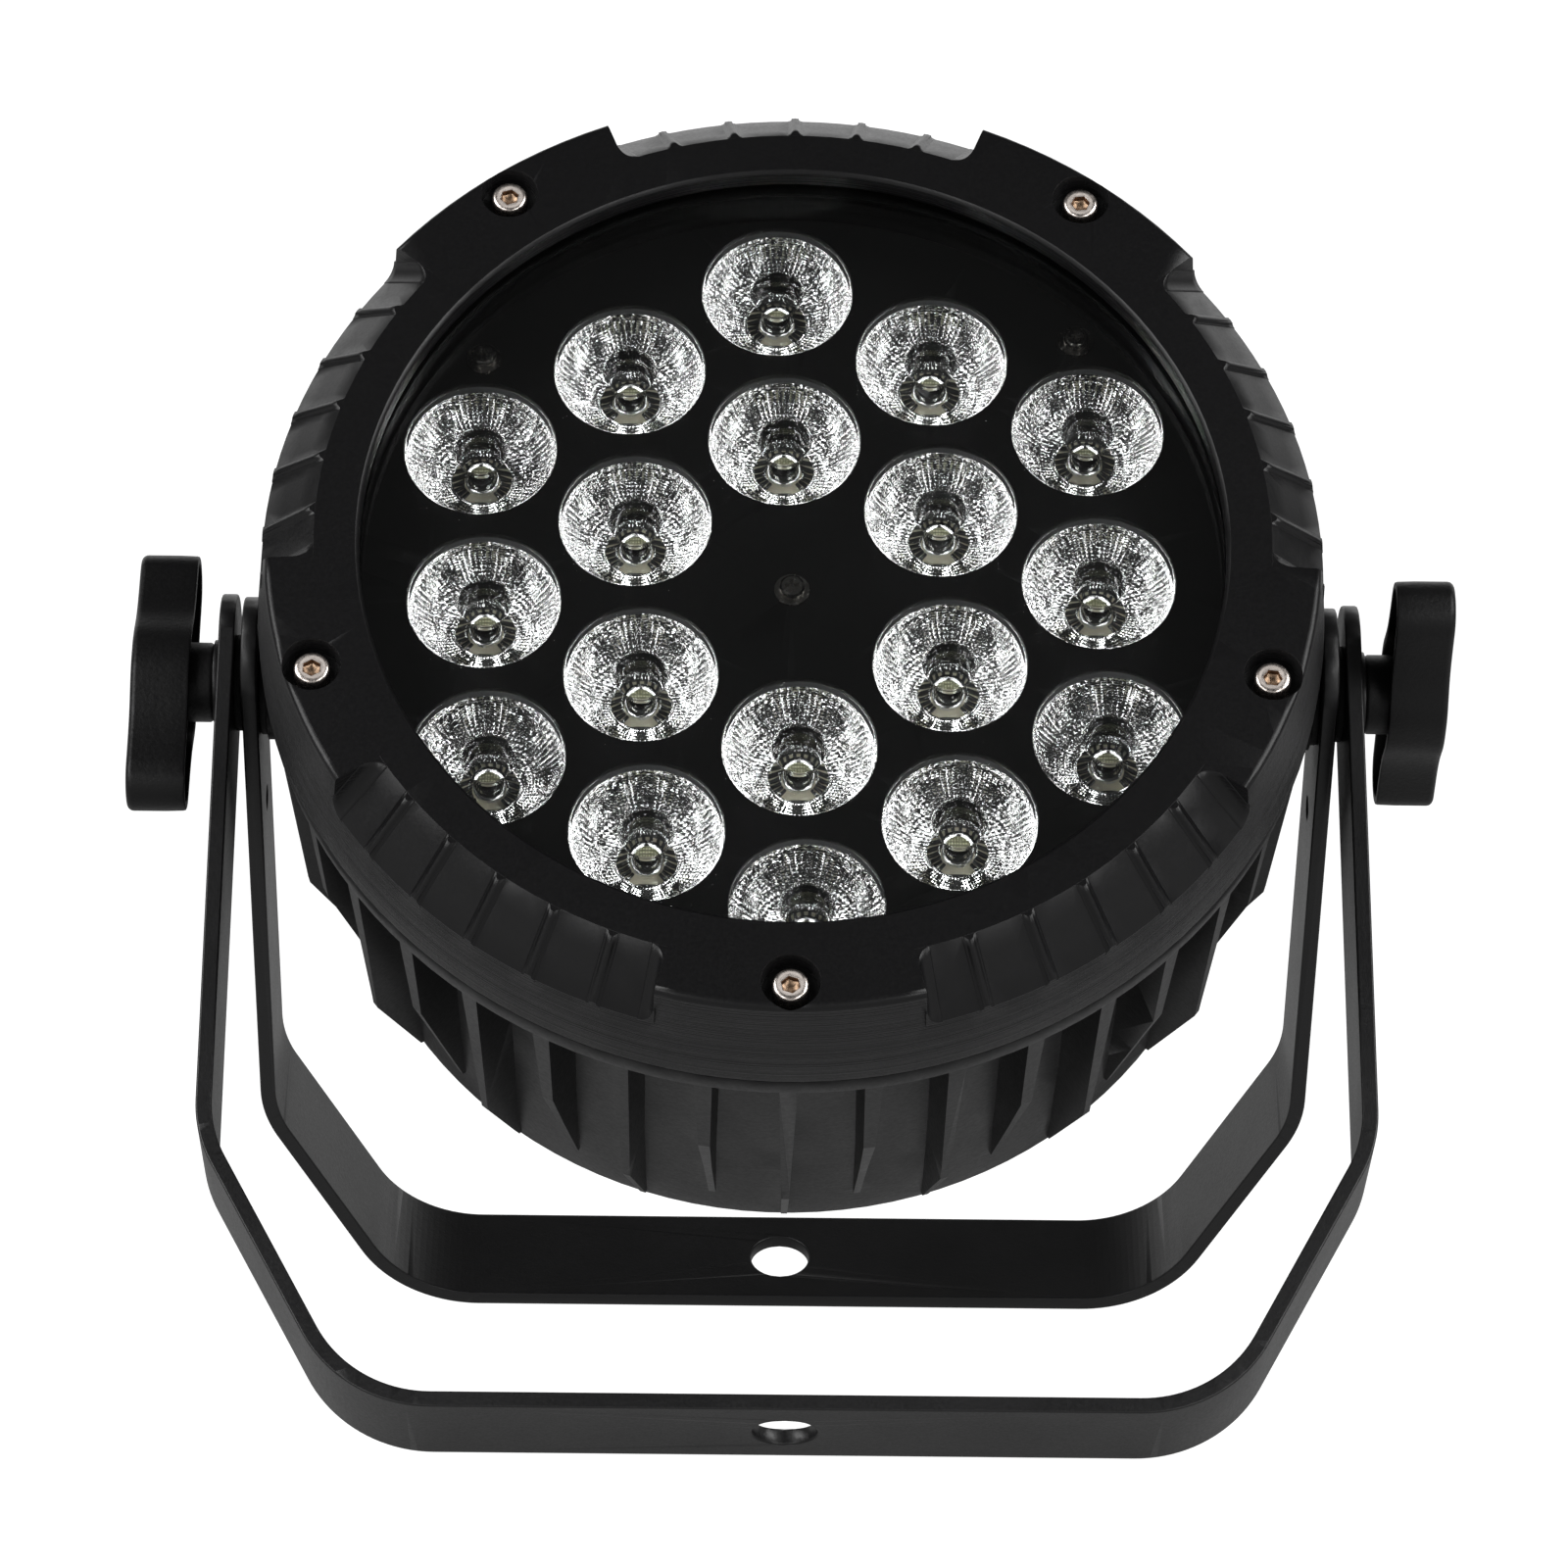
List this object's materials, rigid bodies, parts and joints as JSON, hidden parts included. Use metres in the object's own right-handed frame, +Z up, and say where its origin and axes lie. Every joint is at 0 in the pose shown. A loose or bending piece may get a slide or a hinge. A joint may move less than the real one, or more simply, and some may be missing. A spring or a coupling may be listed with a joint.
{
  "type": "par can light",
  "caption": "LED par can light with a finned round head, notched front rim, clear lens field, and a two-bar folding yoke with side knobs.",
  "frame": {"origin": "centre of the clamp hole in the bottom bar of the outer yoke, at the middle of the bar's thickness", "axes": "+X along the tilt axis to the right seen from the front, +Y from front to back (the beam leaves towards -Y and up), +Z up with both yokes standing on a floor"},
  "size_m": [0.2644, 0.2171, 0.256],
  "materials": {
    "black_powder_coat": "satin black powder coat over cast aluminium",
    "yoke_powder_coat": "fine-textured black powder coat over steel bar",
    "plate_black": "matt black coated aluminium plate",
    "stainless": "stainless steel fasteners",
    "zinc_steel": "zinc plated steel",
    "clear_glass": "clear toughened glass",
    "lens_clear": "clear moulded acrylic, polished",
    "black_rubber": "black silicone rubber",
    "holder_plastic": "moulded black plastic",
    "emitter": "yellow-green phosphor under a clear dome",
    "board_white": "white solder mask on aluminium board",
    "board_green": "green solder mask",
    "pad_grey": "grey thermal pad",
    "wire": "wire insulation",
    "wire_mains": "wire insulation",
    "wire_signal": "wire insulation",
    "psu_metal": "sheet aluminium case",
    "component": "moulded electronic parts",
    "brass": "brass",
    "knob_plastic": "textured black glass-filled nylon",
    "display_plastic": "dark tinted window",
    "button_plastic": "moulded grey-black plastic",
    "socket_blue": "blue moulded socket",
    "socket_grey": "grey moulded socket",
    "socket_metal": "black cast socket shell",
    "plastic_black": "moulded black plastic"
  },
  "bodies": {
    "outer_yoke": {"outer_yoke": "yoke_powder_coat"},
    "inner_yoke": {"inner_yoke": "yoke_powder_coat", "left_yoke_washer": "black_rubber", "right_yoke_washer": "black_rubber"},
    "left_clamp": {"left_clamp_washer": "yoke_powder_coat"},
    "right_clamp": {"right_clamp_washer": "yoke_powder_coat"},
    "left_knob": {"left_knob": "knob_plastic", "left_stud": "stainless"},
    "right_knob": {"right_knob": "knob_plastic", "right_stud": "stainless"},
    "menu_button": {"menu_button": "button_plastic"},
    "down_button": {"down_button": "button_plastic"},
    "up_button": {"up_button": "button_plastic"},
    "enter_button": {"enter_button": "button_plastic"},
    "head": {"housing": "black_powder_coat", "front_rim": "black_powder_coat", "rim_screws": "stainless", "rim_gasket": "black_rubber", "front_glass": "clear_glass", "glass_gasket": "black_rubber", "lens_plate": "plate_black", "lens_plate_screws": "stainless", "lenses": "lens_clear", "lens_holders": "holder_plastic", "led_emitters": "emitter", "led_board": "board_white", "standoffs": "zinc_steel", "thermal_pad": "pad_grey", "wire_grommet": "black_rubber", "led_wires": "wire", "power_supply": "psu_metal", "power_supply_screws": "zinc_steel", "driver_board": "board_green", "driver_components": "component", "driver_standoffs": "brass", "rear_cover": "black_powder_coat", "rear_gasket": "black_rubber", "rear_cover_screws": "stainless", "display_module": "board_green", "display_window": "display_plastic", "button_board": "board_green", "power_inlet": "socket_blue", "power_outlet": "socket_grey", "dmx_inlet": "socket_metal", "dmx_outlet": "socket_metal", "connector_screws": "stainless", "mains_wires": "wire_mains", "signal_wires": "wire_signal", "fuse_holder": "plastic_black", "breather_valve": "plastic_black", "safety_eye": "black_powder_coat", "safety_eye_screws": "stainless", "left_insert": "zinc_steel", "right_insert": "zinc_steel", "left_head_washer": "black_rubber", "right_head_washer": "black_rubber"}
  },
  "joints": [
    {"name": "head_tilt", "type": "hinge", "parent": "outer_yoke", "child": "head", "pos_m": [0, 0.08534, 0.13344], "axis": [-1, 0, 0], "range_deg": [-125, 145]},
    {"name": "inner_yoke_fold", "type": "hinge", "parent": "outer_yoke", "child": "inner_yoke", "pos_m": [0, 0.08534, 0.13344], "axis": [-1, 0, 0], "range_deg": [-281, 51]},
    {"name": "left_clamp_slide", "type": "slide", "parent": "head", "child": "left_clamp", "axis": [-1, 0, 0], "range_m": [0, 0.0026]},
    {"name": "left_knob_turn", "type": "hinge", "parent": "left_clamp", "child": "left_knob", "pos_m": [0, 0.08534, 0.13344], "axis": [-1, 0, 0], "range_deg": [0, 720]},
    {"name": "right_clamp_slide", "type": "slide", "parent": "head", "child": "right_clamp", "axis": [1, 0, 0], "range_m": [0, 0.0026]},
    {"name": "right_knob_turn", "type": "hinge", "parent": "right_clamp", "child": "right_knob", "pos_m": [0, 0.08534, 0.13344], "axis": [1, 0, 0], "range_deg": [0, 720]},
    {"name": "menu_button_press", "type": "slide", "parent": "head", "child": "menu_button", "axis": [0, -0.8192, 0.5736], "range_m": [0, 0.001]},
    {"name": "down_button_press", "type": "slide", "parent": "head", "child": "down_button", "axis": [0, -0.8192, 0.5736], "range_m": [0, 0.001]},
    {"name": "up_button_press", "type": "slide", "parent": "head", "child": "up_button", "axis": [0, -0.8192, 0.5736], "range_m": [0, 0.001]},
    {"name": "enter_button_press", "type": "slide", "parent": "head", "child": "enter_button", "axis": [0, -0.8192, 0.5736], "range_m": [0, 0.001]}
  ],
  "couplings": [
    {"joint": "left_clamp_slide", "follows": "left_knob_turn", "m_per_rad": 0.00019894},
    {"joint": "right_clamp_slide", "follows": "right_knob_turn", "m_per_rad": 0.00019894}
  ]
}
